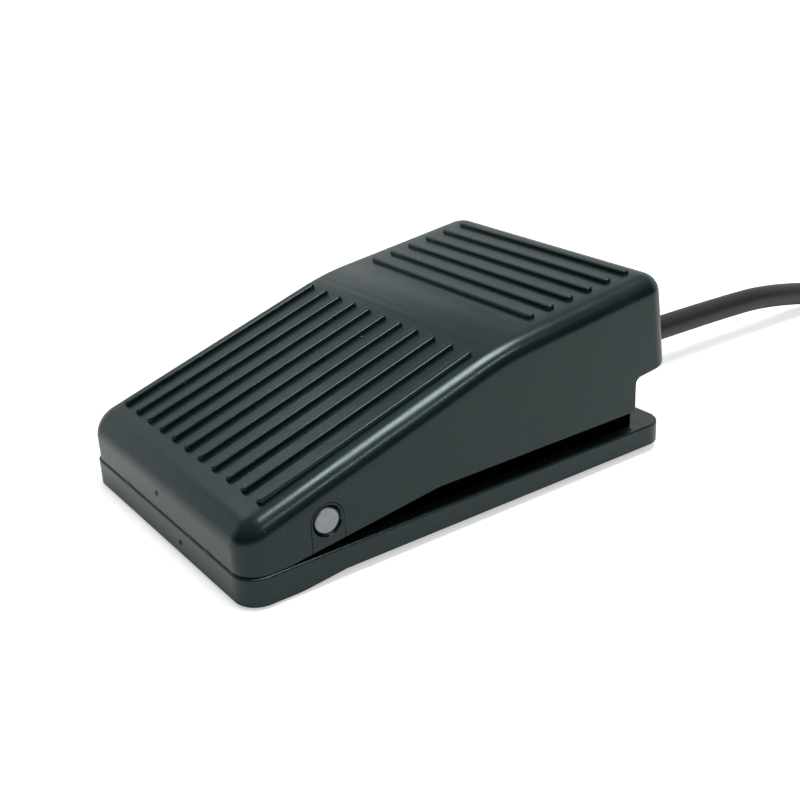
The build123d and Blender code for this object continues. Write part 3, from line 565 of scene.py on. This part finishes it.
# Gate marks in mm: radius and height of their section from rim to middle, and their places on the front
GATE_SECTION = [
    (0.7, -0.1), (0.7, 0.05), (0.62, 0.09), (0.5, 0.07), (0.45, 0.0), (0.2, 0.0), (0.16, 0.07), (0.05, 0.1),
]
GATE_SIDES = 28
GATE_SHARP = radians(40)
GATE_MARKS = {
    "cover_gate_mark": ("pedal", (-1.0, COVER_FRONT, 9.8)),
    "base_gate_mark": ("base", (8.2, -52.225, 3.2)),
}


def make_gate_marks():
    """Small round marks left by the mould on the front of the cover and of the base."""
    turn = Vector((0.0, 0.0, 1.0)).rotation_difference(Vector((0.0, -1.0, 0.0))).to_matrix()
    for name, (body, place) in GATE_MARKS.items():
        work = bmesh.new()
        rings = []
        for radius, height in GATE_SECTION:
            ring = []
            for k in range(GATE_SIDES):
                angle = 2 * pi * k / GATE_SIDES
                spot = turn @ Vector((radius * cos(angle), radius * sin(angle), height)) + Vector(place)
                ring.append(work.verts.new(spot * MM))
            rings.append(ring)
        join_rings(work, rings)
        mesh = finished_mesh(work, name)
        mesh.set_sharp_from_angle(angle=GATE_SHARP)
        new_piece(name, mesh, body)


# Flash on the parting line in mm: place across and half length of each sliver
BURRS = [(-15.3, 1.1), (12.6, 0.8), (19.5, 1.3)]
BURR_FRONT = -51.98
BURR_HEIGHT = 6.28
BURR_HALF_DEPTH = 0.1
BURR_HALF_HEIGHT = 0.2


def make_burrs():
    """Slivers of flash on the parting line of the front."""
    work = bmesh.new()
    for number, (place, half_length) in enumerate(BURRS):
        made = bmesh.ops.create_icosphere(work, subdivisions=3, radius=1.0)
        for vertex in made["verts"]:
            x, y, z = vertex.co
            wave = 1.0 + 0.25 * sin(5.0 * x + 2.1 * number) * cos(4.0 * z + number)
            tilt = 0.1 * x * cos(number)
            vertex.co = Vector((place + x * half_length, BURR_FRONT + BURR_HALF_DEPTH * wave * y,
                                BURR_HEIGHT + BURR_HALF_HEIGHT * wave * z - tilt)) * MM
    new_piece("seam_burrs", finished_mesh(work, "seam_burrs"), "base")


# Painted shade: near-black strips on the housing's long sides, in mm: y and top of each place along them
STRIP_TOPS = [(-43.6, 9.7), (-31.2, 9.7), (-29.6, 15.6), (0.0, 15.6), (30.0, 15.6), (41.4, 15.6)]
STRIP_BOTTOM = 6.3
STRIP_THICK = 0.2
STRIP_CORNER = 3.0
STRIP_CORNER_PLACE = (28.01, 41.475)
STRIP_CORNER_ANGLES = range(10, 70, 10)
# near-black colours of the painted shade
PAINTED_SHADE_COLOURS = ((0.0004, 0.0005, 0.0006), (0.0012, 0.0014, 0.0014))


def painted_shade_material():
    """Matte near-black surface with fine noise: painted shade for the slot below the cover."""
    nodes = Material("painted_shade_sheet")
    nodes.shader.inputs["Roughness"].default_value = 1.0
    nodes.shader.inputs["Specular IOR Level"].default_value = 0.0
    sheet_noise = nodes.noise(scale=1800.0, detail=3.0, roughness=0.7)
    shade = nodes.add("ShaderNodeMix", data_type="RGBA")
    nodes.link(nodes.remap(sheet_noise, 0.3, 0.7, 0.0, 1.0), shade.inputs["Factor"])
    for name, colour in zip("AB", PAINTED_SHADE_COLOURS):
        shade.inputs[name].default_value = (*colour, 1.0)
    nodes.link(shade.outputs["Result"], nodes.shader.inputs["Base Color"])
    nodes.link(nodes.bump(sheet_noise, strength=0.3, distance=0.0002), nodes.shader.inputs["Normal"])
    return nodes.material


def make_shade_sheets():
    """Matte near-black strips along the housing and round its rear corners: painted shade, which blackens
    the slot below the cover.
    """
    corner_x, corner_y = STRIP_CORNER_PLACE
    rear_top = STRIP_TOPS[-1][1]
    columns = STRIP_TOPS + [
        (corner_y + STRIP_CORNER * sin(radians(angle)), rear_top) for angle in STRIP_CORNER_ANGLES
    ]
    work = bmesh.new()
    for side in (-1, 1):
        rings = []
        for y, top in columns:
            turned = max(y - corner_y, 0.0)
            x = corner_x + sqrt(STRIP_CORNER ** 2 - turned ** 2)
            section = ((x, STRIP_BOTTOM), (x, top), (x + STRIP_THICK, top), (x + STRIP_THICK, STRIP_BOTTOM))
            rings.append([work.verts.new(Vector((side * out, y, z)) * MM) for out, z in section])
        join_rings(work, rings)
    mesh = finished_mesh(work, "shade_sheets", smooth=False)
    # painted shade: a near-black sheet put in the slot below the cover, where there is only shade
    new_piece("shade_sheets", mesh, "base", "foot_rubber", painted_shade_material())


make_cover()
make_ribs()
make_gate_marks()
make_burrs()
make_shade_sheets()


# Lead in mm, along the route of the CAD tube; its length in metres
LEAD_RADIUS = 3.0
LEAD_ROUTE = [
    (0.0, 36.275, 9.7),
    (0.0, 56.275, 9.7),
    (0.5, 81.275, 9.65),
    (0.2, 105.275, 9.3),
    (0.5, 128.275, 8.6),
    (0.2, 150.275, 3.45),
]


def make_lead():
    """Smooth round cord jacket that replaces the CAD tube."""
    curve = bpy.data.curves.new("lead", "CURVE")
    curve.dimensions = "3D"
    curve.bevel_depth = LEAD_RADIUS * MM
    curve.bevel_resolution = 8
    curve.resolution_u = 24
    curve.use_fill_caps = True
    spline = curve.splines.new("NURBS")
    spline.points.add(len(LEAD_ROUTE) - 1)
    for point, place in zip(spline.points, LEAD_ROUTE):
        point.co = (*(Vector(place) * MM), 1.0)
    spline.order_u = 3
    spline.use_endpoint_u = True
    lead = bpy.data.objects.new("lead", curve)
    bpy.context.collection.objects.link(lead)
    lead.data.materials.append(finishes["lead_rubber"])
    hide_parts("cord_sheath")
    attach(lead, "base")


make_lead()


# Floor: how far from the object its lift towards white starts and ends, and how strong the lift is
WHITE = (1.0, 1.0, 1.0, 1.0)
FLOOR_SIZE = 6.0
FLOOR_COLOUR = (0.8, 0.8, 0.8, 1.0)
FLOOR_NEAR_FAR = (0.1, 0.5)
FLOOR_LIFT = (0.55, 0.85)
FLOOR_GLOSSY = 0.05


def make_stage():
    """Plain pale floor, near white to the camera and with the object's shadow."""
    bpy.ops.mesh.primitive_plane_add(size=FLOOR_SIZE, location=(0.0, 0.0, 0.0))
    floor = bpy.context.active_object
    floor.name = "floor"
    nodes = Material("floor")
    nodes.shader.inputs["Base Color"].default_value = FLOOR_COLOUR
    nodes.shader.inputs["Roughness"].default_value = 0.9
    nodes.shader.inputs["Specular IOR Level"].default_value = 0.0
    nodes.shader.inputs["Emission Color"].default_value = WHITE
    # lifted towards white for the camera, more so away from the object, and a little for reflections
    path = nodes.add("ShaderNodeLightPath")
    away = nodes.add("ShaderNodeVectorMath", operation="LENGTH")
    nodes.link(nodes.coordinates, away.inputs[0])
    lift = nodes.remap(away.outputs["Value"], *FLOOR_NEAR_FAR, *FLOOR_LIFT)
    camera = nodes.product(path.outputs["Is Camera Ray"], lift)
    glossy = nodes.product(path.outputs["Is Glossy Ray"], FLOOR_GLOSSY)
    nodes.link(nodes.maths("ADD", camera, glossy), nodes.shader.inputs["Emission Strength"])
    floor.data.materials.append(nodes.material)


# Lamps, in metres and watts
LAMP_TARGET = (0.0, 0.0, 0.02)
LAMPS = {
    "overhead": dict(place=(0.05, 0.1, 0.78), size=(0.26, 0.4), power=4.6),
    "strip": dict(place=(0.62, 0.15, 0.7), size=(0.5, 0.035), power=1.0),
    "left_strip": dict(place=(-0.77, -0.1, 0.65), size=(0.5, 0.03), power=0.2),
}


def make_lamps():
    """Soft rectangular lamps, all turned to the object."""
    for name, lamp in LAMPS.items():
        data = bpy.data.lights.new(name, "AREA")
        data.shape = "RECTANGLE"
        data.size, data.size_y = lamp["size"]
        data.energy = lamp["power"]
        light = bpy.data.objects.new(name, data)
        bpy.context.collection.objects.link(light)
        light.location = lamp["place"]
        aim = Vector(LAMP_TARGET) - Vector(lamp["place"])
        light.rotation_euler = aim.to_track_quat("-Z", "Y").to_euler()


# World: pairs are where a soft step starts and ends, in parts of a direction of length one
WALL_DIRECTION = (-0.86, 0.5, 0.0)
WALL_SIDES = (-0.2, 0.5)
WALL_TOP = (0.46, 0.57)
WALL_LEVEL = 0.7
WALL_ABOVE = 0.3
CEILING_EDGE = (0.3, 0.9)
ROOM_LEVEL = 0.03
CEILING_LEVEL = 0.3
WORLD_COLOUR = (0.95, 1.0, 1.0, 1.0)


def make_world():
    """Studio all round: a bright low wall behind and to the left, darker above and on the camera's side."""
    world = bpy.data.worlds.new("world")
    bpy.context.scene.world = world
    world.use_nodes = True
    nodes = Nodes(world.node_tree)
    direction = nodes.add("ShaderNodeTexCoord").outputs["Generated"]
    split = nodes.add("ShaderNodeSeparateXYZ")
    nodes.link(direction, split.inputs["Vector"])
    height = split.outputs["Z"]
    aim = nodes.add("ShaderNodeVectorMath", operation="DOT_PRODUCT")
    nodes.link(direction, aim.inputs[0])
    aim.inputs[1].default_value = WALL_DIRECTION
    facing = nodes.remap(aim.outputs["Value"], *WALL_SIDES, 0.0, 1.0, "SMOOTHSTEP")
    low_part = nodes.remap(height, *WALL_TOP, 1.0, WALL_ABOVE, "SMOOTHSTEP")
    wall = nodes.product(facing, low_part, WALL_LEVEL)
    ceiling = nodes.remap(height, *CEILING_EDGE, ROOM_LEVEL, CEILING_LEVEL, "SMOOTHSTEP")
    background = nodes.tree.nodes["Background"]
    background.inputs["Color"].default_value = WORLD_COLOUR
    nodes.link(nodes.maths("ADD", wall, ceiling), background.inputs["Strength"])
    # the camera sees plain white beyond the floor
    path = nodes.add("ShaderNodeLightPath")
    white = nodes.add("ShaderNodeBackground")
    white.inputs["Color"].default_value = WHITE
    mix = nodes.add("ShaderNodeMixShader")
    nodes.link(path.outputs["Is Camera Ray"], mix.inputs["Fac"])
    nodes.link(background.outputs["Background"], mix.inputs[1])
    nodes.link(white.outputs["Background"], mix.inputs[2])
    nodes.link(mix.outputs["Shader"], nodes.tree.nodes["World Output"].inputs["Surface"])


make_stage()
make_world()
make_lamps()
bpy.context.scene.view_settings.view_transform = "Standard"
